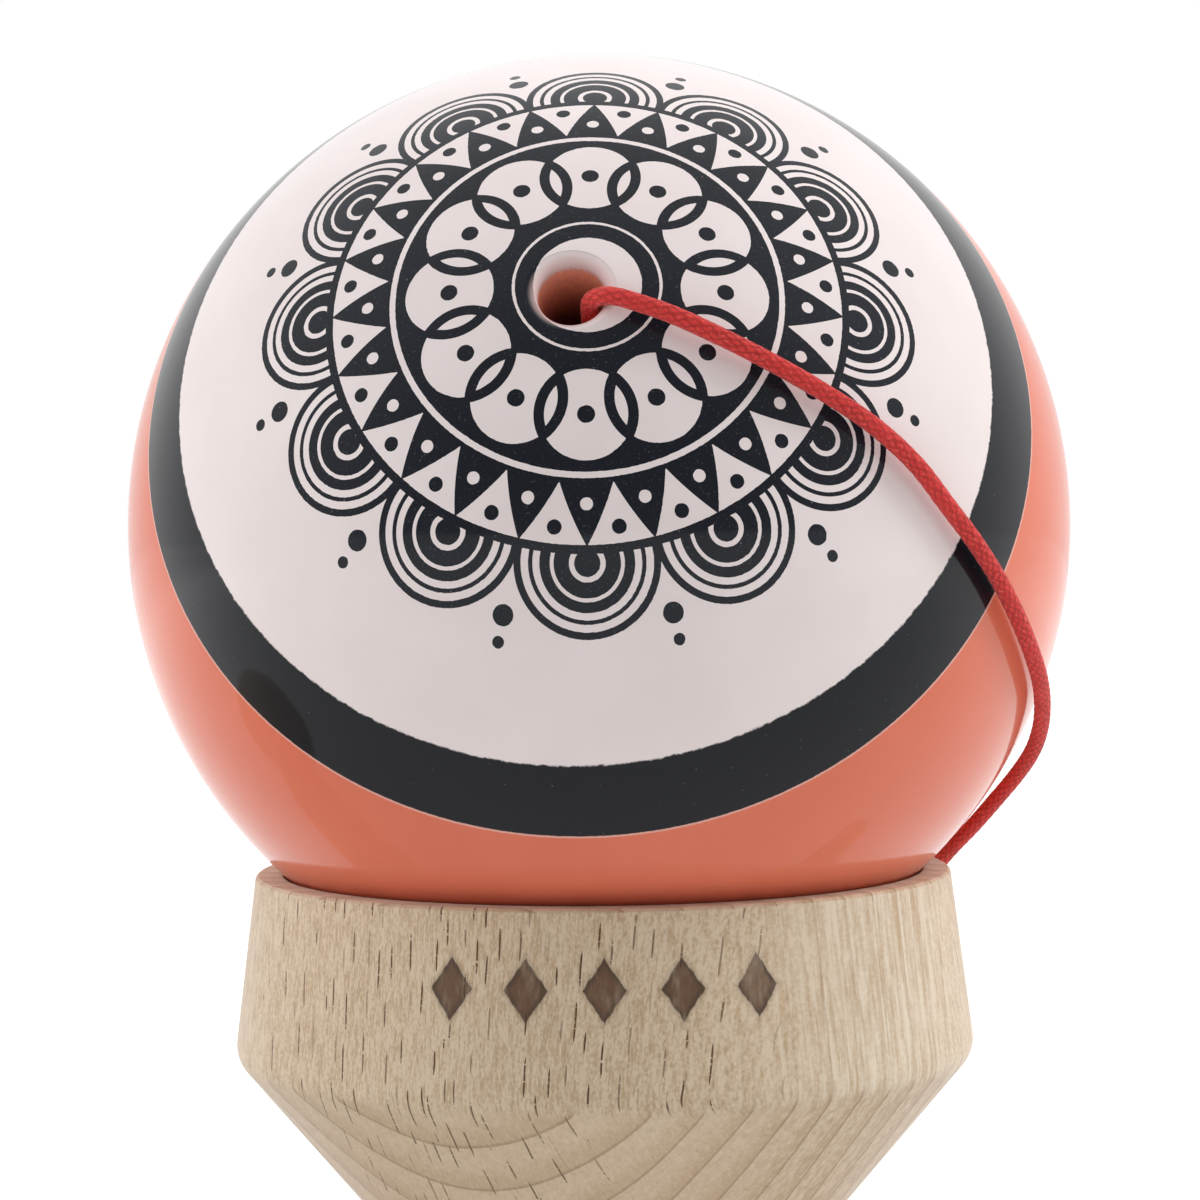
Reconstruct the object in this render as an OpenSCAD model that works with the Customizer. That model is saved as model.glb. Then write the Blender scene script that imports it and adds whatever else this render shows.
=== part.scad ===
// Cup and ball toy: a turned handle and cross piece with three cups, and a
// painted ball on a string that rests in the big cup. The toy stands on its
// small cup with the handle level. Millimetres, +Z up, +X along the spike.
// The origin is the middle of the small cup's rim.

/* [Ball] */
// Diameter of the ball
ball_d = 60; // [56:1:64]
// Diameter of the hole that goes over the spike
spike_hole_d = 22; // [19:0.5:23.5]
// Depth of the spike hole, from the ball's surface to where its cone meets the string hole
spike_hole_depth = 43; // [40:0.5:45]
// Half angle of the cone at the end of the spike hole
spike_hole_cone = 45; // [40:1:50]
// Width of the bevel round the mouth of the spike hole
spike_hole_bevel = 2; // [0.5:0.25:3]
// Diameter of the string hole
ball_hole_d = 3.8; // [3.2:0.1:4.6]
// Countersink of the string hole
ball_hole_sink = 0.8; // [0.3:0.1:1]
// Angle at which the string hole looks up
ball_tilt = 25.8; // [20:0.1:32]
// Angle at which the string hole is turned to the left
ball_turn = 3; // [-4:0.5:10]

/* [Bead] */
// Diameter of the stop bead inside the ball
bead_d = 7; // [6:0.5:7.5]
// Diameter of the bead's bore
bead_bore_d = 2; // [1.6:0.1:2.4]

/* [Big cup] */
// Diameter of the circle on which the ball sits
big_seat_d = 41.2; // [38:0.2:42]
// Outer diameter of the rim
big_rim_d = 44.6; // [43.6:0.2:45]
// Diameter at the corner, where the cup is widest
big_corner_d = 47.4; // [46:0.2:48]
// Depth of the corner below the rim
big_corner_depth = 11.4; // [9:0.2:12]
// Radius of the hollow
big_dish_r = 27; // [25:0.5:29]

/* [Small cup] */
// Inner diameter of the rim
small_seat_d = 35.8; // [33:0.2:37]
// Outer diameter of the rim
small_rim_d = 39.2; // [38.6:0.2:41]
// Diameter at the corner
small_corner_d = 41.2; // [40:0.2:44]
// Depth of the corner behind the rim
small_corner_depth = 9.5; // [8:0.5:11]
// Radius of the hollow
small_dish_r = 25; // [22:0.5:28]

/* [Cross piece] */
// Distance from the handle's axis to the big cup's rim
big_reach = 40; // [39.5:0.5:44]
// Distance from the handle's axis to the small cup's rim
small_reach = 33; // [30:0.5:36]
// Diameter of the waist
waist_d = 26; // [25:0.5:27]
// Slope of the cups' backs
cup_slope = 50; // [44:1:54]
// Bevel of the cups' rims
rim_bevel = 0.5; // [0.2:0.1:0.6]
// Rounding of the cups' corners
corner_round = 2; // [1:0.25:3]
// Rounding where a cup's back runs out
foot_round = 4; // [2:0.5:6]
// Diameter of the handle's bore on the grip side
bore_in_d = 16.6; // [15.8:0.1:17]
// Diameter of the handle's bore on the spike side
bore_out_d = 15.4; // [14.6:0.1:15.6]
// Diameter of the string hole
string_hole_d = 3.2; // [3:0.1:3.6]
// Countersink of the string hole
string_hole_sink = 0.5; // [0.3:0.1:0.8]

/* [Handle] */
// Distance from the cross piece's axis to the base cup's rim
base_reach = 110; // [100:1:125]
// Inner diameter of the base cup's rim
base_seat_d = 34.6; // [31:0.2:36]
// Outer diameter of the base cup's rim
base_rim_d = 38; // [37:0.2:39]
// Diameter at the base cup's corner
base_corner_d = 39.6; // [39.2:0.2:42]
// Depth of the corner behind the rim
base_corner_depth = 10; // [8:0.5:12]
// Radius of the base cup's hollow
base_dish_r = 24; // [21:0.5:27]
// Diameter of the grip where the base cup runs out
grip_foot_d = 18.4; // [17:0.2:20]
// Diameter of the grip at its fullest
grip_full_d = 20.6; // [19:0.2:23]
// Distance from the cross piece's axis to the fullest part of the grip
grip_full_x = 60; // [50:1:70]
// Diameter of the shoulder that meets the cross piece
shoulder_d = 17.4; // [17.2:0.1:17.8]
// Distance from the cross piece's axis to the shoulder
shoulder_x = 16; // [15:0.5:18]
// Distance from the cross piece's axis to the spike's tip
spike_reach = 54; // [46:1:62]
// Diameter at the spike's root
spike_root_d = 14.4; // [13.6:0.1:14.5]
// Diameter where the spike's round tip begins
spike_tip_d = 8.4; // [6:0.2:10]

/* [String] */
// Diameter of the string
string_d = 1; // [0.8:0.05:1.05]
// Tightest bend of the string
string_bend_r = 2.1; // [2:0.1:2.4]
// Distance by which the string leans towards the edge of the ball's hole
string_lean = 1; // [0.2:0.1:1]
// Number of turns round the waist
winding_turns = 2.7; // [1.7:1:2.7]
// Rise from one turn to the next
winding_pitch = 1.5; // [1.45:0.01:1.6]
// Height of the first turn above the handle's axis
winding_top = 14.6; // [14.4:0.1:14.8]
// Diameter of the stop knots
knot_d = 4; // [3.6:0.1:4.2]
// Thickness of the stop knots
knot_h = 1.9; // [1.5:0.1:2]

/* [Clearances] */
// Gap between the ball and the rim it sits on
ball_seat_gap = 0.15; // [0.05:0.05:0.3]
// Gap round the handle in its bore
bore_gap = 0.05; // [0.02:0.01:0.1]
// Gap between the bead and the ball
bead_gap = 0.2; // [0.1:0.05:0.4]
// Gap between the string and what it runs over
string_gap = 0.25; // [0.2:0.05:0.3]
// Gap round a stop knot
knot_gap = 0.2; // [0.1:0.05:0.3]

/* [Hidden] */
$fn = 96;
over = 1;
arc_steps = 5;

BEECH = [0.80, 0.73, 0.63];
PAINT = [0.82, 0.44, 0.35];
BEAD_WOOD = [0.78, 0.68, 0.53];
CORD = [0.72, 0.25, 0.24];

// Levels along the cross piece's axis
ken_z = small_reach;
big_rim_z = small_reach + big_reach;
ball_rise = sqrt(pow(ball_d / 2, 2) - pow(big_seat_d / 2, 2));
ball_c = [0, 0, big_rim_z + ball_rise + ball_seat_gap];

// Axis of the ball's two holes, out of the string hole
hole_dir = [-sin(ball_turn) * cos(ball_tilt), -cos(ball_turn) * cos(ball_tilt), sin(ball_tilt)];

// Places along that axis, from the ball's middle
hole_top = spike_hole_depth - ball_d / 2;
hole_cone_h = (spike_hole_d - ball_hole_d) / 2 / tan(spike_hole_cone);
bead_drop = (bead_d / 2 + bead_gap) / cos(spike_hole_cone) - ball_hole_d / 2;
bead_at = hole_top - bead_drop / tan(spike_hole_cone);
bead_knot_top = bead_at - bead_d / 2;

// The string's stretch over the ball and down to the neck, from the ball's middle
string_route = [
    [4.1, -28.3, 11.5], [7.1, -28.2, 10.1], [10.0, -27.8, 8.6], [12.8, -27.1, 7.0],
    [15.4, -26.1, 5.3], [17.8, -24.9, 3.2], [19.7, -23.6, 0.9], [21.5, -22.0, -1.3],
    [23.1, -20.0, -3.5], [24.4, -17.9, -5.6], [25.5, -15.5, -7.6], [26.4, -12.8, -9.4],
    [27.0, -9.9, -11.0], [27.3, -7.1, -12.7], [27.2, -4.3, -14.4], [26.6, -1.5, -16.1],
    [25.5, 1.0, -18.0], [24.3, 3.4, -19.9], [23.1, 6.0, -21.7], [22.1, 8.6, -23.5],
    [21.1, 11.0, -25.4], [20.1, 13.5, -27.5], [18.8, 15.7, -29.5], [17.2, 17.6, -31.8],
    [15.3, 19.3, -33.9], [12.5, 20.1, -35.4], [9.6, 19.9, -37.1], [6.9, 19.4, -38.9],
    [4.3, 18.5, -40.8], [1.9, 17.3, -42.7], [-0.5, 15.9, -44.5], [-3.0, 14.3, -46.1],
    [-5.7, 12.7, -47.0]
];

// The tail's way from the last turn to the string hole: angle round the waist, height over the handle's axis
tail_route = [[33, 10], [46, 8.8], [57, 7.1], [66, 5.2], [74, 3.4]];
// Direction of the tail where it turns into the string hole, along the waist
tail_slope = 40;

// The winding's radius, its first angle, and the loop's steps
turn_r = waist_d / 2 + string_d / 2 + string_gap;
winding_from = 126;
loop_steps = 24;

// Points of a curve as lists
function unit(v) = v / norm(v);
function arc(c, r, from, to) =
    [for (i = [0:arc_steps]) let (a = from + (to - from) * i / arc_steps) c + r * [cos(a), sin(a)]];
function ease(a, b, t) = a + (b - a) * (1 - cos(180 * t)) / 2;

// Outline of a cup from its rim to the foot of its back, as [radius, depth behind the rim]
function cup_side(rim_d, corner_d, depth, foot_d) =
    let (turn = 90 - cup_slope,
         wall_depth = depth - corner_round * tan(turn / 2),
         foot_depth = depth + tan(cup_slope) * (corner_d - foot_d) / 2)
    concat(
        [[rim_d / 2 - rim_bevel, 0]],
        [for (i = [0:arc_steps - 1]) let (t = i / arc_steps)
            [rim_d / 2 + (corner_d - rim_d) / 2 * sin(90 * t), rim_bevel + (wall_depth - rim_bevel) * t]],
        arc([corner_d / 2 - corner_round, wall_depth], corner_round, 0, turn),
        arc([foot_d / 2 + foot_round, foot_depth + foot_round * tan(turn / 2)], foot_round, 180 + turn, 180));

function reversed(list) = [for (i = [len(list) - 1:-1:0]) list[i]];
function cup_depth(seat_d, dish_r) = sqrt(pow(dish_r, 2) - pow(seat_d / 2, 2));

// Directions along a line of points, with the first and last given
function directions(p, first, last) =
    [for (i = [0:len(p) - 1])
        i == 0 ? first : i == len(p) - 1 ? last : unit(unit(p[i + 1] - p[i]) + unit(p[i] - p[i - 1]))];
function across(v, t) = unit(v - (v * t) * t);
function carried(t, v) =
    [for (i = 0, u = across(v, t[0]); i < len(t); u = across(u, t[min(i + 1, len(t) - 1)]), i = i + 1) u];

// A cord as one closed tube: rings of corners along its points, and triangles between them
module tube(p, first, last, sides) {
    t = directions(p, first, last);
    u = carried(t, [0, 0.3, 1]);
    rings = len(p);
    corners = [for (i = [0:rings - 1]) let (v = cross(t[i], u[i]))
        for (k = [0:sides - 1]) p[i] + string_d / 2 * (cos(360 * k / sides) * u[i] + sin(360 * k / sides) * v)];
    walls = [for (i = [0:rings - 2]) for (k = [0:sides - 1])
        let (a = i * sides + k, b = i * sides + (k + 1) % sides)
        for (f = [[a, a + sides, b], [b, a + sides, b + sides]]) f];
    caps = [for (k = [1:sides - 2])
        for (f = [[0, k, k + 1], [rings * sides - sides, rings * sides - sides + k + 1, rings * sides - sides + k]]) f];
    polyhedron(corners, concat(walls, caps));
}

// The string's points, from the bead's knot out of the ball, over it and down to the first turn
run_r = ball_d / 2 + string_d / 2 + string_gap;
bend_at = string_lean + string_bend_r;
bend_rise = sqrt(pow(run_r - string_bend_r, 2) - pow(bend_at, 2));
bend_side = across(string_route[0], hole_dir);
in_hole = [for (i = [0:4]) [string_lean * ease(0, 1, i / 5), bead_knot_top + (bend_rise - bead_knot_top) * i / 5]];
out_of_hole = arc([bend_at, bend_rise], string_bend_r, 180, atan2(bend_rise, bend_at));
turn_start = [turn_r * cos(winding_from), turn_r * sin(winding_from), ken_z + winding_top];
turn_dir = [-sin(winding_from), cos(winding_from), 0];
string_points = concat(
    [for (q = concat(in_hole, out_of_hole)) ball_c + q[1] * hole_dir + q[0] * bend_side],
    [for (q = string_route) ball_c + q],
    [turn_start - string_d * turn_dir, turn_start]);

// The winding's points: its turns, its tail and the bend into the string hole
function on_waist(angle, height) = [turn_r * cos(angle), turn_r * sin(angle), ken_z + height];
tail_side = [cos(tail_slope), 0, sin(tail_slope)];
tail_bend = arc([0, turn_r - string_bend_r], string_bend_r, 90, 0);
knot_top = turn_r - string_bend_r - string_d;
winding_points = concat(
    [turn_start, turn_start + string_d * turn_dir],
    [for (i = [1:round(winding_turns * loop_steps)])
        on_waist(winding_from + 360 * i / loop_steps, winding_top - winding_pitch * i / loop_steps)],
    [for (q = tail_route) on_waist(q[0], q[1])],
    [for (q = tail_bend) [0, q[1], ken_z] + (string_bend_r - q[0]) * tail_side],
    [[0, knot_top, ken_z]]);

// The least gap between two stretches of the winding that lie half a turn or more apart
winding_gap = min([for (i = [0:len(winding_points) - 1])
    for (j = [i + loop_steps / 2:1:len(winding_points) - 1])
        norm(winding_points[i] - winding_points[j])]) - string_d;
echo(str("least gap of the winding to itself: ", winding_gap, " mm"));

// Length of the string from knot to knot
function run(p) = [for (i = [1:len(p) - 1]) norm(p[i] - p[i - 1])] * [for (i = [1:len(p) - 1]) 1];
echo(str("string length: ", run(string_points) + run(winding_points), " mm"));

module on_ball_axis() {
    translate(ball_c) rotate([90 - ball_tilt, 0, -ball_turn]) children();
}

module along_handle() {
    translate([0, 0, ken_z]) rotate([0, 90, 0]) children();
}

// A stop knot, pressed flat, with its top at the level of the origin
module knot() {
    edge = knot_h / 3;
    rotate_extrude()
        polygon([[0, -knot_h], [knot_d / 2 - edge, -knot_h], [knot_d / 2, edge - knot_h],
                 [knot_d / 2, -edge], [knot_d / 2 - edge, 0], [0, 0]]);
}

// The turned cross piece: both cups, the waist, the handle's bore and the string hole
module sarado() {
    small = cup_side(small_rim_d, small_corner_d, small_corner_depth, waist_d);
    big = cup_side(big_rim_d, big_corner_d, big_corner_depth, waist_d);
    bore_step = (bore_in_d - bore_out_d) / 2 / waist_d;
    color(BEECH) difference() {
        rotate_extrude()
            polygon(concat([[0, 0]], small,
                           [for (q = reversed(big)) [q[0], big_rim_z - q[1]]],
                           [[0, big_rim_z]]));
        translate([0, 0, big_rim_z + cup_depth(big_seat_d, big_dish_r)]) sphere(r = big_dish_r);
        translate([0, 0, -cup_depth(small_seat_d, small_dish_r)]) sphere(r = small_dish_r);
        along_handle() translate([0, 0, -waist_d / 2 - over])
            cylinder(h = waist_d + 2 * over, r1 = bore_in_d / 2 + bore_step * over, r2 = bore_out_d / 2 - bore_step * over);
        translate([0, 0, ken_z]) rotate([-90, 0, 0]) {
            cylinder(h = waist_d / 2 + over, d = string_hole_d);
            cylinder(h = knot_top + knot_gap, d = knot_d + 2 * knot_gap);
            translate([0, 0, waist_d / 2 - string_hole_sink])
                cylinder(h = over, r1 = string_hole_d / 2, r2 = string_hole_d / 2 + over);
        }
    }
}

// The turned handle: base cup, grip, tapered seat and spike
module ken() {
    base = cup_side(base_rim_d, base_corner_d, base_corner_depth, grip_foot_d);
    foot_x = base_reach - base[len(base) - 1][1];
    tip_r = spike_tip_d / 2;
    seat_end = waist_d / 2;
    color(BEECH) along_handle() difference() {
        rotate_extrude()
            polygon(concat(
                [[0, -base_reach]],
                [for (q = base) [q[0], q[1] - base_reach]],
                [for (i = [1:arc_steps]) let (t = i / arc_steps)
                    [ease(grip_foot_d, grip_full_d, t) / 2, -foot_x + (foot_x - grip_full_x) * t]],
                [for (i = [1:arc_steps]) let (t = i / arc_steps)
                    [ease(grip_full_d, shoulder_d, t) / 2, -grip_full_x + (grip_full_x - shoulder_x) * t]],
                [[bore_in_d / 2 - bore_gap, -seat_end], [bore_out_d / 2 - bore_gap, seat_end],
                 [spike_root_d / 2, seat_end + over]],
                arc([0, spike_reach - tip_r], tip_r, 0, 90)));
        translate([0, 0, -base_reach - cup_depth(base_seat_d, base_dish_r)]) sphere(r = base_dish_r);
    }
}

// The ball with its spike hole and string hole
module tama() {
    mouth_r = spike_hole_d / 2 + spike_hole_bevel;
    mouth_at = sqrt(pow(ball_d / 2, 2) - pow(mouth_r, 2));
    sink_r = ball_hole_d / 2 + ball_hole_sink;
    sink_at = sqrt(pow(ball_d / 2, 2) - pow(sink_r, 2));
    color(PAINT) on_ball_axis() difference() {
        sphere(d = ball_d);
        translate([0, 0, -ball_d / 2 - over])
            cylinder(h = spike_hole_depth + over - hole_cone_h, d = spike_hole_d);
        translate([0, 0, hole_top - hole_cone_h])
            cylinder(h = hole_cone_h, d1 = spike_hole_d, d2 = ball_hole_d);
        translate([0, 0, -mouth_at - spike_hole_bevel])
            cylinder(h = 2 * spike_hole_bevel, r1 = mouth_r + spike_hole_bevel, r2 = mouth_r - spike_hole_bevel);
        cylinder(h = ball_d / 2 + over, d = ball_hole_d);
        translate([0, 0, sink_at - ball_hole_sink])
            cylinder(h = 2 * ball_hole_sink, r1 = sink_r - ball_hole_sink, r2 = sink_r + ball_hole_sink);
    }
}

// The stop bead on the string, inside the ball
module bead() {
    color(BEAD_WOOD) on_ball_axis() translate([0, 0, bead_at]) difference() {
        sphere(d = bead_d);
        cylinder(h = bead_d + 2 * over, d = bead_bore_d, center = true);
    }
}

// The knot that holds the bead on the string
module bead_knot() {
    color(CORD) on_ball_axis() translate([0, 0, bead_knot_top]) knot();
}

// The string from the bead's knot to the first turn
module string() {
    color(CORD) tube(string_points, hole_dir, turn_dir, 8);
}

// The turns round the waist, and the tail into the string hole
module string_winding() {
    color(CORD) tube(winding_points, turn_dir, [0, -1, 0], 6);
}

// The knot between the cross piece and the handle
module sarado_knot() {
    color(CORD) translate([0, knot_top, ken_z]) rotate([-90, 0, 0]) knot();
}

sarado();
ken();
tama();
bead();
bead_knot();
string();
string_winding();
sarado_knot();
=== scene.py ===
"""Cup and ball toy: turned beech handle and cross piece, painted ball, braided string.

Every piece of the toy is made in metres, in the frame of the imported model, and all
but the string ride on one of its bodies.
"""

import math
from collections import namedtuple
from functools import partialmethod

import bmesh
import bpy
from bpy.props import FloatProperty, FloatVectorProperty, IntProperty, PointerProperty
from mathutils import Euler, Matrix, Vector


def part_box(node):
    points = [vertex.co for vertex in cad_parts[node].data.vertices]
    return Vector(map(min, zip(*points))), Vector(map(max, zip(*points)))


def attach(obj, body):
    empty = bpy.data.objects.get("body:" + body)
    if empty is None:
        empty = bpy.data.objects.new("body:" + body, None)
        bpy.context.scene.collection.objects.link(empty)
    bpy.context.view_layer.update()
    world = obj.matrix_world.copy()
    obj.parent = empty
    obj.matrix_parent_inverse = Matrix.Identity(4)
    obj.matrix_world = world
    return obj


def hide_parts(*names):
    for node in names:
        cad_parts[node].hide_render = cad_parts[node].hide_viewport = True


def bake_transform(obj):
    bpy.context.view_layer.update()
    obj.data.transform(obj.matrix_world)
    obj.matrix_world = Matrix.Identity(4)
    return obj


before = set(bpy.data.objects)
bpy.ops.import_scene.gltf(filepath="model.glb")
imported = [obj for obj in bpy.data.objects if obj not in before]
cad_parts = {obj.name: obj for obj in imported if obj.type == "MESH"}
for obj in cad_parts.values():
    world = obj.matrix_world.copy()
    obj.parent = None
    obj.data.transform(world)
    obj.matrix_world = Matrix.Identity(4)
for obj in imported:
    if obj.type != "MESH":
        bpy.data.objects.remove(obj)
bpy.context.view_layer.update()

bl_info = {
    "name": "Cup and ball toy",
    "version": (1, 0, 0),
    "blender": (4, 5, 0),
    "location": "View3D > Sidebar > Toy",
    "description": "Makes a turned cup and ball toy with a painted ball on a string",
    "category": "Add Mesh",
}

MM = 0.001


def srgb(red, green, blue):
    """A colour as a screen shows it, from 0 to 255, in the linear values that Blender keeps."""
    shares = (red / 255, green / 255, blue / 255)
    return tuple(c / 12.92 if c <= 0.04045 else ((c + 0.055) / 1.055) ** 2.4 for c in shares)


def length(name, description, millimetres):
    """A size that a user may change, kept in metres."""
    return FloatProperty(
        name=name, description=description, default=millimetres * MM, min=0.0, unit="LENGTH", precision=5
    )


def angle(name, description, degrees):
    """An angle that a user may change, kept in radians."""
    return FloatProperty(name=name, description=description, default=math.radians(degrees), unit="ROTATION")


def colour(name, description, *shown_as):
    """A colour that a user may change."""
    return FloatVectorProperty(
        name=name, description=description, default=srgb(*shown_as), min=0.0, max=1.0, subtype="COLOR"
    )


# The settings that the panel shows


class BallSizes(bpy.types.PropertyGroup):
    """The ball and the bead inside it"""

    ball: length("Ball", "Diameter of the ball", 60)
    spike_hole: length("Spike hole", "Diameter of the hole that goes over the spike", 22)
    spike_hole_depth: length("Spike hole depth", "Depth of the spike hole, with its cone", 43)
    spike_hole_bevel: length("Mouth bevel", "Bevel round the mouth of the spike hole", 2)
    string_hole: length("String hole", "Diameter of the string hole", 3.8)
    hole_round: length("Hole rounding", "Rounding of the string hole's edge", 0.8)
    tilt: angle("Tilt", "Angle at which the string hole looks up", 25.8)
    turn: angle("Turn", "Angle at which the string hole is turned to the left", 3)
    bead: length("Bead", "Diameter of the stop bead", 7)
    bead_bore: length("Bead bore", "Diameter of the bead's bore", 2)
    bead_gap: length("Bead gap", "Gap between the bead and the ball", 0.2)
    paint_tilt: angle("Paint tilt", "Angle at which the middle of the painted cap looks up", 26.5)
    cap_edge: angle("Cap edge", "Angle from the cap's middle to its edge", 53.05)
    print_shift: length("Print shift", "Distance from the cap's middle to the middle of the print", 0.9)
    band_edge: angle("Band edge", "Angle from the cap's middle to the outer edge of the dark band", 62.4)


class CrossPieceSizes(bpy.types.PropertyGroup):
    """The cross piece with its two cups"""

    big_seat: length("Big seat", "Inner diameter of the big cup's rim", 41.2)
    big_rim: length("Big rim", "Outer diameter of the big cup's rim", 44.6)
    big_corner: length("Big corner", "Diameter at the big cup's corner", 47.4)
    big_depth: length("Big corner depth", "Depth of the big cup's corner below its rim", 11.4)
    big_hollow: length("Big hollow", "Radius of the big cup's hollow", 27)
    small_seat: length("Small seat", "Inner diameter of the small cup's rim", 35.8)
    small_rim: length("Small rim", "Outer diameter of the small cup's rim", 39.2)
    small_corner: length("Small corner", "Diameter at the small cup's corner", 41.2)
    small_depth: length("Small corner depth", "Depth of the small cup's corner behind its rim", 9.5)
    small_hollow: length("Small hollow", "Radius of the small cup's hollow", 25)
    height: length("Height", "Distance between the two rims", 73)
    handle_height: length("Handle height", "Height of the handle's axis over the small cup's rim", 33)
    waist: length("Waist", "Diameter of the waist", 26)
    bore_in: length("Bore, grip side", "Diameter of the handle's bore on the grip side", 16.6)
    bore_out: length("Bore, spike side", "Diameter of the handle's bore on the spike side", 15.4)
    bore_bevel: length("Bore bevel", "Bevel round the ends of the bore", 0.35)
    string_hole: length("String hole", "Diameter of the string hole", 3.2)
    pocket: length("Knot pocket", "Diameter of the pocket for the knot", 4.4)
    marks_height: length("Marks height", "Height of the row of burnt marks", 68.4)
    mark_width: length("Mark width", "Width of one burnt mark", 2.7)
    mark_height: length("Mark height", "Height of one burnt mark", 3.7)
    mark_step: length("Mark step", "Distance from one burnt mark to the next", 4.7)


class HandleSizes(bpy.types.PropertyGroup):
    """The handle with its base cup and spike"""

    base_reach: length("Base reach", "Distance from the cross piece's axis to the base cup's rim", 110)
    base_seat: length("Base seat", "Inner diameter of the base cup's rim", 34.6)
    base_rim: length("Base rim", "Outer diameter of the base cup's rim", 38)
    base_corner: length("Base corner", "Diameter at the base cup's corner", 39.6)
    base_depth: length("Base corner depth", "Depth of the base cup's corner behind its rim", 10)
    base_hollow: length("Base hollow", "Radius of the base cup's hollow", 24)
    grip_foot: length("Grip foot", "Diameter of the grip where the base cup runs out", 18.4)
    grip_full: length("Grip", "Diameter of the grip at its fullest", 20.6)
    grip_full_x: length("Grip place", "Distance from the cross piece's axis to the grip's fullest part", 60)
    shoulder: length("Shoulder", "Diameter of the shoulder that meets the cross piece", 17.4)
    shoulder_x: length("Shoulder place", "Distance from the cross piece's axis to the shoulder", 16)
    fit_gap: length("Fit", "Gap round the handle in its bore", 0.05)
    spike_reach: length("Spike reach", "Distance from the cross piece's axis to the spike's tip", 54)
    spike_root: length("Spike root", "Diameter at the spike's root", 14.4)
    spike_tip: length("Spike tip", "Diameter where the spike's round tip begins", 8.4)


class StringSizes(bpy.types.PropertyGroup):
    """The string, its winding and its knots"""

    thickness: length("String", "Diameter of the string", 1.0)
    bend: length("Bend", "Tightest bend of the string", 2.1)
    lean: length("Lean", "Distance by which the string leans towards the hole's edge", 1)
    gap: length("Gap", "Gap between the string and what it runs over", 0.25)
    turns: FloatProperty(name="Turns", description="Number of turns round the waist", default=2.7, min=0.5)
    pitch: length("Pitch", "Rise from one turn to the next", 1.5)
    winding_top: length("Winding height", "Height of the first turn above the handle's axis", 14.6)
    knot: length("Knot", "Diameter of a stop knot", 4.0)
    knot_height: length("Knot height", "Thickness of a stop knot", 1.9)
    strands: IntProperty(name="Strands", description="Strands of the braid in each sense", default=8, min=3)
    plait: length("Plait", "Length of string in which a strand passes one other", 0.85)


class Finishes(bpy.types.PropertyGroup):
    """The colours of the toy"""

    beech: colour("Beech", "Pale wood between the growth lines", 214, 194, 167)
    growth: colour("Growth lines", "Wood at the growth lines", 186, 160, 128)
    pores: colour("Rays", "Short dark lines along the grain", 84, 42, 2)
    burn: colour("Burnt marks", "Burnt wood", 94, 64, 42)
    cap: colour("Cap", "Pale paint round the string hole", 239, 228, 227)
    ink: colour("Ink", "Printed rosette and, a shade deeper, the band", 28, 31, 39)
    coral: colour("Coral", "Ground colour of the ball", 223, 119, 92)
    hole: colour("Hole", "Stained wood inside the string hole", 250, 168, 138)
    cord: colour("String", "Red braid", 226, 61, 58)
    bead: colour("Bead", "Plain wood of the bead", 205, 178, 140)


class Toy(bpy.types.PropertyGroup):
    """All settings of the toy"""

    ball: PointerProperty(type=BallSizes)
    cross: PointerProperty(type=CrossPieceSizes)
    handle: PointerProperty(type=HandleSizes)
    string: PointerProperty(type=StringSizes)
    finish: PointerProperty(type=Finishes)


# Outlines and meshes

Cup = namedtuple("Cup", "seat rim corner depth hollow")
CUP_SLOPE = math.radians(50)
RIM_BEVEL = 0.18 * MM
RIM_ROUND = 0.18 * MM
LIP_ROUND = 0.2 * MM
CORNER_ROUND = 2 * MM
FOOT_ROUND = 4 * MM
ARC_STEPS = 8
HOLLOW_STEPS = 20
TURNED_STEPS = 144
SHARP = math.radians(32)
# Points of a mesh that lie closer than this are one; a cut leaves more of them, and slivers
MERGE, CUT_MERGE, CUT_SLIVER = 1e-7, 2e-6, 1e-6


def filleted(corners):
    """An outline of (radius, height) points, with each (radius, height, rounding) corner made an arc."""
    points = []
    for i, corner in enumerate(corners):
        here = Vector(corner[:2])
        if len(corner) < 3:
            points.append(here)
            continue
        before, after = Vector(corners[i - 1][:2]), Vector(corners[(i + 1) % len(corners)][:2])
        back, on = (before - here).normalized(), (after - here).normalized()
        turn = math.pi - back.angle(on)
        cut = corner[2] * math.tan(turn / 2)
        first, last = here + back * cut, here + on * cut
        middle = here + (back + on).normalized() * math.hypot(corner[2], cut)
        for k in range(ARC_STEPS + 1):
            spoke = (first - middle).lerp(last - middle, k / ARC_STEPS)
            points.append(middle + spoke.normalized() * corner[2])
    return points


def ball_arc(radius, first, last, steps):
    """Points of a ball's outline between two angles from its top, without the two ends."""
    angles = [first + (last - first) * k / steps for k in range(1, steps)]
    return [(radius * math.sin(a), radius * math.cos(a)) for a in angles]


def cup_of(sizes, name):
    """The cup whose settings begin with a name."""
    return Cup(*(getattr(sizes, f"{name}_{part}") for part in Cup._fields))


def cup_outline(cup, foot):
    """Corners of a cup from the middle of its hollow over the rim to the foot of its back, by their depth."""
    drop = math.sqrt(cup.hollow**2 - (cup.seat / 2) ** 2)
    widest = math.asin(cup.seat / 2 / cup.hollow)
    angles = [widest * k / HOLLOW_STEPS for k in range(HOLLOW_STEPS)]
    foot_depth = cup.depth + math.tan(CUP_SLOPE) * (cup.corner - foot) / 2
    return [
        *((cup.hollow * math.sin(a), cup.hollow * math.cos(a) - drop) for a in angles),
        (cup.seat / 2, 0.0, LIP_ROUND),
        (cup.rim / 2 - RIM_BEVEL, 0.0, RIM_ROUND),
        (cup.rim / 2, RIM_BEVEL, RIM_ROUND),
        (cup.corner / 2, cup.depth, CORNER_ROUND),
        (foot / 2, foot_depth, FOOT_ROUND),
    ]


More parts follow.
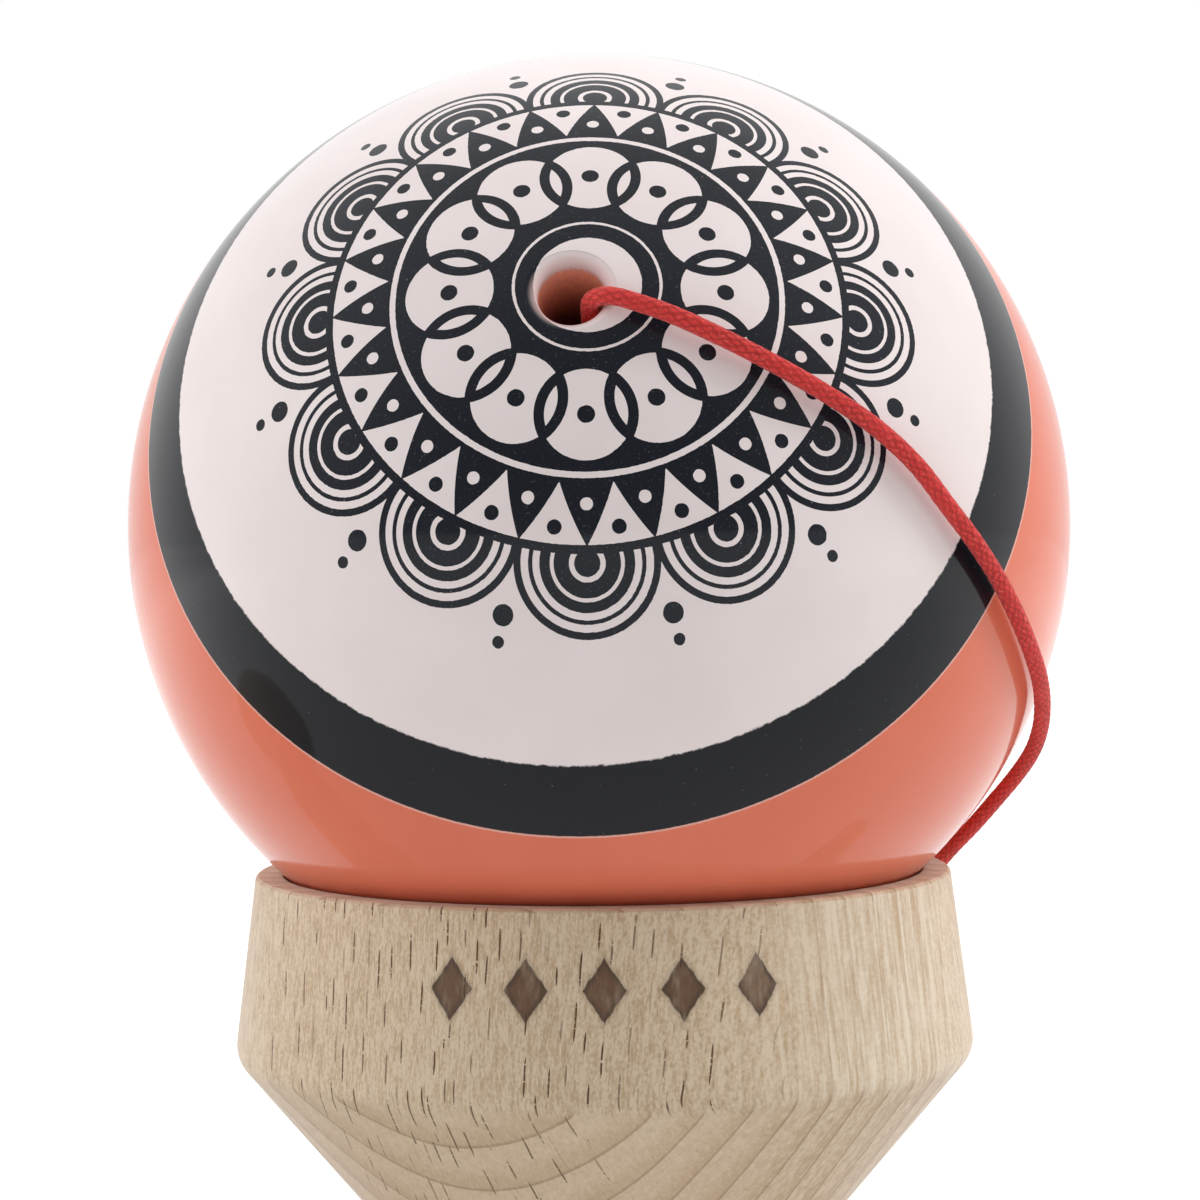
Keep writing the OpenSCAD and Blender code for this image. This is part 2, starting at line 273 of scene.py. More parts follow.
def eased(start, end, share):
    """A value that leaves start and reaches end without a corner."""
    return start + (end - start) * (1 - math.cos(math.pi * share)) / 2


def turned(corners, closed=False, steps=TURNED_STEPS):
    """A bmesh of an outline spun round the Z axis; a closed outline is a ring."""
    bm = bmesh.new()
    line = [bm.verts.new((max(p.x, 0.0), 0.0, p.y)) for p in filleted(corners)]
    pairs = list(zip(line, line[1:])) + ([(line[-1], line[0])] if closed else [])
    edges = [bm.edges.new(pair) for pair in pairs]
    bmesh.ops.spin(
        bm,
        geom=line + edges,
        cent=(0, 0, 0),
        axis=(0, 0, 1),
        angle=2 * math.pi,
        steps=steps,
        use_merge=True,
        use_duplicate=False,
    )
    bmesh.ops.remove_doubles(bm, verts=bm.verts, dist=MERGE)
    bmesh.ops.recalc_face_normals(bm, faces=bm.faces)
    return bm


def placed(bm, matrix):
    """Moves a whole bmesh."""
    bmesh.ops.transform(bm, matrix=matrix, verts=bm.verts)
    return bm


def fill_ends(bm):
    """Closes the open ends of a bmesh."""
    bmesh.ops.holes_fill(bm, edges=[e for e in bm.edges if e.is_boundary], sides=0)


def write(bm, mesh):
    """Puts a bmesh into a mesh and marks its sharp edges."""
    bm.to_mesh(mesh)
    bm.free()
    mesh.set_sharp_from_angle(angle=SHARP)


def shown(name, data):
    """A new object at the origin of the scene."""
    made = bpy.data.objects.new(name, data)
    bpy.context.scene.collection.objects.link(made)
    return made


def piece(name, bm, *materials):
    """A bmesh as a smooth object at the origin, with its materials."""
    for face in bm.faces:
        face.smooth = True
    mesh = bpy.data.meshes.new(name)
    write(bm, mesh)
    for material in materials:
        mesh.materials.append(material)
    return shown(name, mesh)


def cut_out(made, *cutters):
    """Takes the cutters' solids out of a piece and removes them."""
    for cutter in cutters:
        cut = made.modifiers.new(cutter.name, "BOOLEAN")
        cut.operation, cut.solver, cut.object = "DIFFERENCE", "EXACT", cutter
    bpy.context.view_layer.update()
    shaped = made.evaluated_get(bpy.context.evaluated_depsgraph_get())
    mesh = bpy.data.meshes.new_from_object(shaped)
    made.modifiers.clear()
    plain, made.data = made.data, mesh
    for old in (plain, *(cutter.data for cutter in cutters)):
        bpy.data.meshes.remove(old)
    bm = bmesh.new()
    bm.from_mesh(mesh)
    bmesh.ops.remove_doubles(bm, verts=bm.verts, dist=CUT_MERGE)
    bmesh.ops.dissolve_degenerate(bm, edges=bm.edges, dist=CUT_SLIVER)
    write(bm, mesh)


# Shader nodes


class Field:
    """A number that changes over a surface: an output of a shader node, with arithmetic."""

    def __init__(self, graph, socket):
        self.graph, self.socket = graph, socket

    def maths(self, operation, *others):
        return self.graph.maths(operation, self, *others)

    __add__ = __radd__ = partialmethod(maths, "ADD")
    __mul__ = __rmul__ = partialmethod(maths, "MULTIPLY")
    __sub__ = partialmethod(maths, "SUBTRACT")
    __truediv__ = partialmethod(maths, "DIVIDE")
    __lt__ = partialmethod(maths, "LESS_THAN")
    __gt__ = partialmethod(maths, "GREATER_THAN")
    __and__ = partialmethod(maths, "MINIMUM")
    __or__ = partialmethod(maths, "MAXIMUM")
    __abs__ = partialmethod(maths, "ABSOLUTE")

    def __rsub__(self, other):
        return self.graph.maths("SUBTRACT", other, self)

    def __invert__(self):
        return 1.0 - self

    def between(self, low, high):
        return (self > low) & (self < high)

    def soft(self, low, high):
        """0 at low, 1 at high, smooth between them; low may be the larger one."""
        inputs = {"Value": self, "From Min": low, "From Max": high}
        made = self.graph.node("ShaderNodeMapRange", inputs, interpolation_type="SMOOTHSTEP")
        return Field(self.graph, made.outputs["Result"])


class Graph:
    """Adds nodes to one shader tree and links them."""

    def __init__(self, tree):
        self.tree = tree

    def feed(self, node, inputs):
        """Gives inputs of a node, by name or number, what they are linked to or their plain value."""
        for key, value in inputs.items():
            socket = node.inputs[key]
            if isinstance(value, Field):
                value = value.socket
            if isinstance(value, bpy.types.NodeSocket):
                self.tree.links.new(value, socket)
            elif socket.type == "RGBA" and len(value) == 3:
                socket.default_value = (*value, 1.0)
            else:
                socket.default_value = value

    def node(self, kind, inputs=None, **settings):
        made = self.tree.nodes.new(kind)
        for name, value in settings.items():
            setattr(made, name, value)
        self.feed(made, inputs or {})
        return made

    def field(self, socket):
        return Field(self, socket)

    def maths(self, operation, *values):
        made = self.node("ShaderNodeMath", dict(enumerate(values)), operation=operation)
        return self.field(made.outputs[0])

    def distance(self, x, y, middle_x=0.0, middle_y=0.0):
        """Distance of (x, y) from a point, on a flat drawing."""
        across = x - middle_x if middle_x else x
        up = y - middle_y if middle_y else y
        return (across * across + up * up).maths("SQRT")

    def parts(self, vector):
        """The three numbers of a vector."""
        made = self.node("ShaderNodeSeparateXYZ", {0: vector})
        return [self.field(made.outputs[k]) for k in range(3)]

    def vector(self, x, y, z):
        return self.node("ShaderNodeCombineXYZ", {0: x, 1: y, 2: z}).outputs[0]

    def scaled(self, vector, by):
        """A vector with each of its numbers multiplied."""
        return self.node("ShaderNodeVectorMath", {0: vector, 1: by}, operation="MULTIPLY").outputs[0]

    def in_mm(self, vector):
        """A place in metres, in millimetres."""
        return self.scaled(vector, (1 / MM, 1 / MM, 1 / MM))

    def noise(self, vector, scale, detail=2.0, roughness=0.5):
        inputs = {"Vector": vector, "Scale": scale, "Detail": detail, "Roughness": roughness}
        return self.field(self.node("ShaderNodeTexNoise", inputs).outputs["Fac"])

    def cells(self, vector, scale):
        """Distance to the nearest of many scattered points, and that cell's own random number."""
        made = self.node("ShaderNodeTexVoronoi", {"Vector": vector, "Scale": scale})
        own = self.node("ShaderNodeSeparateColor", {0: made.outputs["Color"]})
        return self.field(made.outputs["Distance"]), self.field(own.outputs[0])

    def chances(self, x, y, z):
        """Three random numbers that belong to one cell of a grid."""
        made = self.node("ShaderNodeTexWhiteNoise", {"Vector": self.vector(x, y, z)}, noise_dimensions="3D")
        own = self.node("ShaderNodeSeparateColor", {0: made.outputs["Color"]})
        return [self.field(own.outputs[k]) for k in range(3)]

    def mixed(self, share, first, second):
        """A colour between two, on the inputs of the Mix node that belong to colours."""
        return self.node("ShaderNodeMix", {0: share, 6: first, 7: second}, data_type="RGBA").outputs[2]

    def bumped(self, height, depth, strength=1.0):
        """A normal from a height in shares of depth, which is in metres."""
        inputs = {"Height": height, "Distance": depth, "Strength": strength}
        return self.node("ShaderNodeBump", inputs).outputs["Normal"]


def emptied(holder):
    """The graph of a material or a world, without the nodes that it began with."""
    holder.use_nodes = True
    holder.node_tree.nodes.clear()
    return Graph(holder.node_tree)


def group(name, inputs, outputs):
    """A new node group: its graph, its inputs by name, and its output node."""
    tree = bpy.data.node_groups.new(name, "ShaderNodeTree")
    for in_out, sockets in (("INPUT", inputs), ("OUTPUT", outputs)):
        for label, kind in sockets.items():
            tree.interface.new_socket(name=label, in_out=in_out, socket_type="NodeSocket" + kind)
    graph = Graph(tree)
    return graph, graph.node("NodeGroupInput").outputs, graph.node("NodeGroupOutput")


def uses(graph, tree, inputs):
    """A node group placed in a material; returns its outputs."""
    return graph.node("ShaderNodeGroup", inputs, node_tree=tree).outputs


def surface(name):
    """A new material: its graph, its Principled BSDF and its Object coordinates."""
    material = bpy.data.materials.new(name)
    graph = emptied(material)
    shader = graph.node("ShaderNodeBsdfPrincipled")
    graph.node("ShaderNodeOutputMaterial", {"Surface": shader.outputs[0]})
    return material, graph, shader, graph.node("ShaderNodeTexCoord").outputs["Object"]


def on_axis(graph, place, location, rotation):
    """Object coordinates seen from a frame with its own place and turn."""
    inputs = {"Vector": place, "Location": location, "Rotation": rotation}
    return graph.node("ShaderNodeMapping", inputs, vector_type="TEXTURE").outputs[0]


# Beech, in millimetres: a year's growth, and how far from the pith an angle round it becomes a length
YEAR = 2.48
PITH_REACH = 45
# The room of a ray and of a fine ray across, along and into the wood
RAY_ROOM = (0.8, 3.0, 5.0)
FINE_RAY_ROOM = (0.16, 2.0, 1.3)
# Half a ray's width at its ends, and what its middle has more
RAY_ENDS, RAY_SWELL = 0.02, 0.04
# The noises: how fine each one is round the pith, away from it and along it, its detail and its roughness
GRAIN = {
    "drift": ((0.05, 0.05, 0.012), 2.0, 0.5),
    "broad": ((0.11, 0.11, 0.03), 2.0, 0.5),
    "fibre": ((2.6, 2.6, 0.16), 4.0, 0.62),
    "streak": ((6.0, 1.2, 0.9), 3.0, 0.6),
    "grit": ((9.0, 3.0, 4.0), 2.0, 0.5),
    "gaps": ((1.5, 1.5, 5.0), 1.0, 0.5),
    "silver": ((0.6, 2.4, 0.1), 2.0, 0.5),
}
WOOD_RELIEF, WOOD_RELIEF_SHARE = 0.05 * MM, 0.6
# Paler, greyer colour of quarter-sawn faces, which also stands in for a painted whitish sheen
QUARTER_SAWN_SHEEN = srgb(222, 212, 194)
CHARRED_EDGE = srgb(46, 31, 22)
# The attribute of a wooden piece that holds the way its surface faces
FACING = "Facing"


def beech_rays(graph, across, radius, z, facing):
    """The short dark spindles that the rays of beech show, one in each cell of a jittered grid."""
    wide, high, deep = RAY_ROOM
    sway = graph.noise(graph.vector(across * 0.12, radius * 0.12, z * 0.3), 1.0, 1.0)
    columns = across / wide + sway * 0.2
    column = columns.maths("FLOOR")
    shift, _, _ = graph.chances(column, 0.0, 0.5)
    rows, depths = z / high + shift * 5.0, radius / deep + shift * 9.0
    aside, long, dark = graph.chances(column, rows.maths("FLOOR"), depths.maths("FLOOR"))
    beside = abs(columns.maths("FRACT") - (aside * 0.7 + 0.15)) * wide
    to_end = (long * 0.45 + 0.4) - abs(rows.maths("FRACT") - 0.5) * 2.0
    spindle = to_end.soft(0.0, 0.35)
    ray = (beside / ((spindle * RAY_SWELL + RAY_ENDS) * facing)).soft(1.25, 0.55) * spindle.soft(0.0, 0.2)
    return ray * dark.soft(0.15, 0.8) * facing.soft(0.2, 0.6)


def beech_grain():
    """Shared wood: growth lines round a pith, fibres and the short dark rays of beech along Z."""
    name = "Beech grain"
    if name in bpy.data.node_groups:
        return bpy.data.node_groups[name]
    inputs = {"Place": "Vector", "Normal": "Vector", "Pith": "Vector", "Contrast": "Float"}
    inputs.update({"Pale": "Color", "Growth": "Color", "Pores": "Color"})
    graph, given, out = group(name, inputs, {"Colour": "Color", "Roughness": "Float", "Height": "Float"})
    ends = {0: given["Place"], 1: given["Pith"]}
    from_pith = graph.node("ShaderNodeVectorMath", ends, operation="SUBTRACT").outputs[0]
    x, y, z = graph.parts(graph.in_mm(from_pith))
    radius = graph.distance(x, y)
    round_pith = x.maths("ARCTAN2", 0.0 - y) * PITH_REACH
    wood = graph.vector(round_pith, radius, z)
    drift, broad, fibre, streak, grit, gaps, silver = (
        graph.noise(graph.scaled(wood, fineness), 1.0, *character) for fineness, *character in GRAIN.values()
    )

    # How the surface is cut: across the grain, along a ring, or both ways between
    out_x, out_y, out_z = graph.parts(given["Normal"])
    cut_across = abs(out_z).soft(0.15, 0.6)
    sideways = graph.distance(out_x, out_y) | 0.05
    facing = abs(out_x * x + out_y * y) / (radius * sideways)
    flat_sawn = facing.soft(0.15, 0.6)
    along_cut = flat_sawn * ~cut_across

    ring = (radius / YEAR + drift * 0.7 + 0.05).maths("FRACT")
    late = ring.soft(0.3, 0.96) & ring.soft(1.0, 0.97)
    year_line = ring.soft(0.9, 0.96) & ring.soft(1.0, 0.98)
    whole = ~cut_across | facing.soft(0.6, 0.95) * 0.85
    ray = beech_rays(graph, round_pith, radius, z, facing) * gaps.soft(0.28, 0.42) * whole
    near, own = graph.cells(graph.scaled(wood, [1 / room for room in FINE_RAY_ROOM]), 1.0)
    fine_ray = near.soft(0.24, 0.12) * own.soft(0.4, 0.9) * (0.3 + flat_sawn * 0.7)
    silver = silver.soft(0.54, 0.7) * ~flat_sawn * ~cut_across

    tone = late * (0.12 + cut_across * 0.36) + (fibre - 0.5) * (3.0 - flat_sawn * 2.0)
    tone = tone + (streak - 0.5) * (0.6 + along_cut * 2.6) + (grit - 0.5) * (0.8 + along_cut * 1.6)
    tone = tone + (broad - 0.5) * 0.5 + 0.36 - silver * 0.7
    tone = graph.node("ShaderNodeClamp", {0: tone * given["Contrast"]}).outputs[0]
    # Paler, greyer wood where the surface runs along the radius from the pith: partly the look of
    # quarter-sawn wood, partly a painted whitish sheen
    pale = graph.mixed(facing.soft(0.55, 0.0) * ~cut_across * 0.5, given["Pale"], QUARTER_SAWN_SHEEN)
    ground = graph.mixed(tone, pale, given["Growth"])
    dark = ray * 0.95 | fine_ray * 0.26 | year_line * (0.11 - flat_sawn * 0.085 + cut_across * 0.26)
    results = {
        "Colour": graph.mixed(dark, ground, given["Pores"]),
        "Roughness": 0.5 + fibre * 0.16 + dark * 0.12,
        "Height": fibre * 0.3 + streak * 0.5 + grit * 0.3 - ray * 0.9 - fine_ray * 0.3,
    }
    graph.feed(out, results)
    return graph.tree


def wood_surface(name, finish, pith, location=(0, 0, 0), rotation=(0, 0, 0), pale=None, contrast=1.0):
    """A raw wood material whose grain runs along the Z axis of its own frame."""
    material, graph, shader, place = surface(name)
    facing = graph.node("ShaderNodeAttribute", attribute_name=FACING).outputs["Vector"]
    grain = uses(
        graph,
        beech_grain(),
        {
            "Place": on_axis(graph, place, location, rotation),
            "Normal": on_axis(graph, facing, (0, 0, 0), rotation),
            "Pith": pith,
            "Contrast": contrast,
            "Pale": pale or finish.beech,
            "Growth": finish.growth,
            "Pores": finish.pores,
        },
    )
    looks = {
        "Base Color": grain["Colour"],
        "Roughness": grain["Roughness"],
        "Normal": graph.bumped(grain["Height"], WOOD_RELIEF, WOOD_RELIEF_SHARE),
        "Specular IOR Level": 0.32,
        "Sheen Weight": 0.3,
        "Sheen Roughness": 0.5,
    }
    graph.feed(shader, looks)
    return material, graph, shader, place, grain


def burnt_beech(cross, finish, pith):
    """The cross piece's wood, with a row of five plain burnt lozenges on the big cup's front."""
    material, graph, shader, place, grain = wood_surface("Beech with burnt marks", finish, pith)
    x, y, z = graph.parts(place)
    along = x.maths("ARCTAN2", 0.0 - y) * (cross.big_corner / 2)
    fibres = graph.scaled(place, (1, 1, 0.3))
    ragged = (graph.noise(fibres, 2600.0, 3.0) - 0.5) * 0.26
    faded = graph.noise(fibres, 900.0, 3.0, 0.65).soft(0.42, 0.75)
    step = cross.mark_step
    aside = abs(along.maths("WRAP", step / 2, -step / 2)) / (cross.mark_width / 2)
    lozenge = aside + abs(z - cross.marks_height) / (cross.mark_height / 2) + ragged
    outside = graph.distance(x, y) > cross.big_seat / 2
    in_row = (abs(along) < 2.5 * step) & (y < 0.0) & outside
    burnt = lozenge.soft(1.03, 0.93) & in_row
    scorched = lozenge.soft(1.35, 0.95) & in_row
    charred = graph.mixed(lozenge.soft(0.6, 0.95) * 0.7, finish.burn, CHARRED_EDGE)
    grained = graph.mixed(0.03 + faded * 0.3, charred, grain["Colour"])
    tanned = graph.mixed(scorched * 0.28, grain["Colour"], finish.burn)
    sunk = graph.field(grain["Height"]) - burnt * 1.6
    looks = {
        "Base Color": graph.mixed(burnt * 0.98, tanned, grained),
        "Normal": graph.bumped(sunk, WOOD_RELIEF, WOOD_RELIEF_SHARE),
    }
    graph.feed(shader, looks)
    return material


# The print, in millimetres over the ball from its middle
INK_RINGS = ((3.05, 5.0), (10.5, 11.0), (11.35, 11.65), (15.0, 15.5))
RING_GAP = (4.03, 4.2)
CHAIN_LINKS, CHAIN_RADIUS, CHAIN_CIRCLE, CHAIN_LINE = 12, 7.8, 2.75, 0.17
CHAIN_FROM, CHAIN_TO, CHAIN_OVERLAP, CHAIN_DOT = 5.0, 10.7, 0.42, 0.5
TEETH, TEETH_FOOT, TEETH_TIP = 24, 11.6, 15.1
TOOTH_HOLE, TOOTH_HOLE_RADIUS, TOOTH_DOT, TOOTH_DOT_RADIUS = 12.75, 0.36, 14.1, 0.42
LOBE_PLACE, LOBE_RADIUS, LOBES_FROM = 16.0, 4.25, 15.4
LOBE_LINES = ((-0.42, 0.0), (-1.1, -0.85), (-2.1, -1.5), (-3.2, -2.32), (-LOBE_RADIUS, -3.5))
OUTER_DOTS = ((19.35, 0.62), (20.9, 0.36))


def rosette():
    """The printed rosette: a chain of circles, a row of teeth, and lobes of nested arcs.

    It is drawn in millimetres, as far from its middle as the paint runs over the ball.
    """
    graph, given, out = group("Rosette print", {"Reach": "Float", "Angle": "Float"}, {"Ink": "Float"})
    reach, turn = graph.field(given["Reach"]), graph.field(given["Angle"])

    def in_sector(count, shift=0.0):
        half = math.pi / count
        folded = (turn + shift).maths("WRAP", half, -half)
        return folded, reach * folded.maths("COSINE"), reach * folded.maths("SINE")

    ink = reach.between(*INK_RINGS[0]) & ~reach.between(*RING_GAP)
    for ring in INK_RINGS[1:]:
        ink = ink | reach.between(*ring)

    _, x, y = in_sector(CHAIN_LINKS)
    step = 2 * math.pi / CHAIN_LINKS
    next_x, next_y = CHAIN_RADIUS * math.cos(step), CHAIN_RADIUS * math.sin(step)
    own = graph.distance(x, y, CHAIN_RADIUS) - CHAIN_CIRCLE
    beside = graph.distance(x, abs(y), next_x, next_y) - CHAIN_CIRCLE
    inner, outer = own | beside, own & beside
    chain = (outer > 0.0) | (abs(own) < CHAIN_LINE) | (abs(beside) < CHAIN_LINE)
    chain = chain | inner.between(-CHAIN_OVERLAP, 0.0) | (own < CHAIN_DOT - CHAIN_CIRCLE)
    ink = ink | (chain & reach.between(CHAIN_FROM, CHAIN_TO))

    half = math.pi / TEETH
    folded, across, up = in_sector(TEETH)
    tooth = (reach - TEETH_FOOT) / (TEETH_TIP - TEETH_FOOT) + abs(folded) / half < 1.0
    teeth = tooth & (graph.distance(across, up, TOOTH_HOLE) > TOOTH_HOLE_RADIUS)
    _, across, up = in_sector(TEETH, half)
    teeth = teeth | (graph.distance(across, up, TOOTH_DOT) < TOOTH_DOT_RADIUS)
    ink = ink | (teeth & reach.between(TEETH_FOOT, TEETH_TIP))

    from_lobe = graph.distance(x, y, LOBE_PLACE) - LOBE_RADIUS
    arcs = from_lobe.between(*LOBE_LINES[0])
    for line in LOBE_LINES[1:]:
        arcs = arcs | from_lobe.between(*line)
    ink = ink | (arcs & (reach > LOBES_FROM))

    _, across, up = in_sector(CHAIN_LINKS, step / 2)
    for place, radius in OUTER_DOTS:
        ink = ink | (graph.distance(across, up, place) < radius)
    graph.feed(out, {"Ink": ink})
    return graph.tree


# The paint's second colours, among them a painted highlight for the band's edge, painted shade for the hole's
# lip and painted shade deep in the hole; and the levels in the string hole, in millimetres from the ball's
# middle, between which its stain begins and its painted shade deepens
CAP_CLOUD, CORAL_CLOUD = srgb(231, 218, 216), srgb(217, 110, 83)
WORN_INK, WORN_BAND = srgb(120, 118, 118), srgb(104, 106, 110)
BAND_EDGE_HIGHLIGHT, HOLE_LIP_SHADE = srgb(228, 178, 166), srgb(222, 194, 190)
STAIN_BLOTCH, HOLE_DEPTH_SHADE = srgb(210, 152, 134), srgb(96, 40, 34)
STAIN_BEGINS, HOLE_SHADE_DEEPENS = (29.15, 28.8), (27.8, 22.5)
BAND_DEPTH = 0.55


def painted(ball, middle, finish):
    """The ball's lacquer: coral ground, dark band, pale cap with the print, stained hole, with painted shade
    in the hole and a painted highlight on the band's edge.
    """
    material, graph, shader, place = surface("Painted ball")
    local = graph.in_mm(on_axis(graph, place, middle, paint_turn(ball)))
    x, y, z = graph.parts(local)
    radius = ball.ball / 2 / MM
    jitter = (graph.noise(local, 4.5, 2.0) - 0.5) * 0.07

    def over_ball(across):
        return graph.distance(across, y).maths("ARCTAN2", z) * radius + jitter

    reach = over_ball(x)
    print_x = x - ball.print_shift / MM
    drawn_at = {"Reach": over_ball(print_x), "Angle": y.maths("ARCTAN2", print_x) + jitter * 0.03}
    ink = graph.field(uses(graph, rosette(), drawn_at)["Ink"])
    spot, cloud = graph.noise(local, 7.0, 2.0, 0.7), graph.noise(local, 0.16, 3.0)
    near, own = graph.cells(local, 1.5)
    dust = near.soft(0.1, 0.05) * own.soft(0.5, 0.9)
    cap_edge, band_edge = ball.cap_edge * radius, ball.band_edge * radius
    rough_edge = (graph.noise(local, 2.2, 4.0, 0.7) - 0.5) * 0.34

    cap = graph.mixed(cloud.soft(0.3, 0.75) * 0.5, finish.cap, CAP_CLOUD)
    worn = graph.mixed(spot.soft(0.62, 0.72) * 0.3 | dust * 0.6, finish.ink, WORN_INK)
    printed = graph.mixed(ink, cap, worn)
    coral = graph.mixed(cloud.soft(0.25, 0.8) * 0.5, finish.coral, CORAL_CLOUD)
    deep_ink = Vector(finish.ink) * BAND_DEPTH
    band = graph.mixed(spot.soft(0.66, 0.76) * 0.14 | dust * 0.4, deep_ink, WORN_BAND)
    beyond = graph.mixed(reach.soft(band_edge - 0.03, band_edge + 0.03), band, coral)
    # A thin pale line along the band's outer edge: a painted highlight on the raised edge of its paint
    beyond = graph.mixed(reach.between(band_edge - 0.02, band_edge + 0.13) * 0.75, beyond, BAND_EDGE_HIGHLIGHT)
    coat = graph.mixed((reach + rough_edge).soft(cap_edge - 0.07, cap_edge + 0.07), printed, beyond)

    edge = ball.string_hole / 2 / MM
    in_x, in_y, depth = graph.parts(graph.in_mm(on_axis(graph, place, middle, ball_turn(ball))))
    lip = graph.distance(in_x, in_y).soft(edge + 0.6, edge + 0.15) & (depth > 0.0)
    # Pinkish grey on the hole's rounded lip and the top of its wall: pale paint run into the hole, darkened
    # by painted shade
    coat = graph.mixed(lip * 0.6, coat, HOLE_LIP_SHADE)
    in_hole = lip & (depth + (spot - 0.5) * 1.4).soft(*STAIN_BEGINS)
    blotch = graph.noise(local, 3.2, 3.0).soft(0.35, 0.7)
    hole_wall_colour = graph.mixed(blotch * 0.35, finish.hole, STAIN_BLOTCH)
    # Darker deeper in the hole: painted shade
    hole_wall_colour = graph.mixed(depth.soft(*HOLE_SHADE_DEEPENS) * 0.9, hole_wall_colour, HOLE_DEPTH_SHADE)
    ripple = graph.noise(local, 0.8, 2.0) * 0.5 + ink * 0.12 + in_hole * spot * 3.0
    looks = {
        "Base Color": graph.mixed(in_hole, coat, hole_wall_colour),
        "Roughness": 0.34 + spot * 0.1 + in_hole * 0.35,
        "Normal": graph.bumped(ripple, 0.03 * MM, 0.35),
        "Coat Weight": 0.78 - in_hole * 0.7,
        "Coat IOR": 1.29,
        "Coat Roughness": 0.06,
        "Specular IOR Level": 0.05,
    }
    graph.feed(shader, looks)
    return material


BRAID_MAP = "Braid"
# Pale pink of the painted highlights on the braid's fuzz
CORD_HIGHLIGHT = srgb(242, 132, 118)
THREADS_IN_STRAND = 5.0


def braid(finish, strands):
    """Red braided cord: strands crossing over and under along the tube's own map, with painted shade in the
    gaps between them and painted highlights of fuzz on their crowns.
    """
    name = "Red braid"
    if name in bpy.data.materials:
        return bpy.data.materials[name]
    material, graph, shader, place = surface(name)
    along, around, _ = graph.parts(graph.node("ShaderNodeUVMap", uv_map=BRAID_MAP).outputs[0])
    local = graph.in_mm(place)
    uneven = graph.noise(local, 1.4, 2.0) * 0.9
    right, left = around * strands + along + uneven, around * strands - along + uneven
    cell = right.maths("FLOOR") + left.maths("FLOOR")
    over = abs(cell).maths("MODULO", 2.0) < 0.5
    under = ~over
    across = over * right.maths("FRACT") + under * left.maths("FRACT")
    lengthways = over * left.maths("FRACT") + under * right.maths("FRACT")
    crown = abs(across - 0.5).soft(0.5, 0.1) * (0.45 + abs(lengthways - 0.5).soft(0.5, 0.2) * 0.55)
    thread = abs((across * THREADS_IN_STRAND).maths("FRACT") - 0.5).soft(0.5, 0.15)
    fuzz = graph.noise(local, 5.0, 3.0, 0.7)
    tint = graph.noise(local, 0.6, 2.0)
    shade = (crown * 0.6 + thread * 0.2 + (fuzz - 0.5) * 0.9 + 0.1).soft(0.05, 0.95)
    # Painted shade: darker red in the gaps between the strands; painted highlights: pale flecks of fuzz on
    # their crowns
    base = Vector(finish.cord)
    deep = graph.mixed(tint.soft(0.35, 0.7), base * 0.52, base * 0.7)
    lit = graph.mixed(fuzz.soft(0.5, 0.74) * 0.5, base, CORD_HIGHLIGHT)
    looks = {
        "Base Color": graph.mixed(shade, deep, lit),
        "Roughness": 0.62 + fuzz * 0.2,
        "Normal": graph.bumped(crown + thread * 0.25 + fuzz * 0.3, 0.06 * MM, 0.7),
        "Sheen Weight": 0.15,
        "Sheen Roughness": 0.4,
        "Specular IOR Level": 0.3,
    }
    graph.feed(shader, looks)
    return material


# Places that more than one piece needs


def ball_middle():
    """Middle of the ball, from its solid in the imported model."""
    low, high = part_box("tama")
    return (low + high) / 2


def ball_turn(ball):
    """Turn of the frame whose Z axis comes out of the string hole."""
    return Euler((math.pi / 2 - ball.tilt, 0.0, -ball.turn))


def paint_turn(ball):
    """Turn of the frame whose Z axis comes out of the middle of the painted cap."""
    return Euler((math.pi / 2 - ball.paint_tilt, 0.0, -ball.turn))


def in_ball(ball, level=0.0):
    """The string hole's frame, at a level on its axis over the ball's middle."""
    lift = Matrix.Translation((0, 0, level))
    return Matrix.Translation(ball_middle()) @ ball_turn(ball).to_matrix().to_4x4() @ lift


def hole_levels(ball):
    """Levels on the hole's axis: top and foot of the cone, middle of the bead, top of its knot."""
    top = ball.spike_hole_depth - ball.ball / 2
    cone = (ball.spike_hole - ball.string_hole) / 2
    bead = top - ((ball.bead / 2 + ball.bead_gap) * math.sqrt(2) - ball.string_hole / 2)
    return top, top - cone, bead, bead - ball.bead / 2


# The string's stretch over the ball and down to the neck, in millimetres from the ball's middle
STRING_ROUTE = (
    (4.1, -28.3, 11.5), (7.1, -28.2, 10.1), (10.0, -27.8, 8.6), (12.8, -27.1, 7.0),
    (15.4, -26.1, 5.3), (17.8, -24.9, 3.2), (19.7, -23.6, 0.9), (21.5, -22.0, -1.3),
    (23.1, -20.0, -3.5), (24.4, -17.9, -5.6), (25.5, -15.5, -7.6), (26.4, -12.8, -9.4),
    (27.0, -9.9, -11.0), (27.3, -7.1, -12.7), (27.2, -4.3, -14.4), (26.6, -1.5, -16.1),
    (25.5, 1.0, -18.0), (24.3, 3.4, -19.9), (23.1, 6.0, -21.7), (22.1, 8.6, -23.5),
    (21.1, 11.0, -25.4), (20.1, 13.5, -27.5), (18.8, 15.7, -29.5), (17.2, 17.6, -31.8),
    (15.3, 19.3, -33.9), (12.5, 20.1, -35.4), (9.6, 19.9, -37.1), (6.9, 19.4, -38.9),
    (4.3, 18.5, -40.8), (1.9, 17.3, -42.7), (-0.5, 15.9, -44.5), (-3.0, 14.3, -46.1),
    (-5.7, 12.7, -47.0),
)
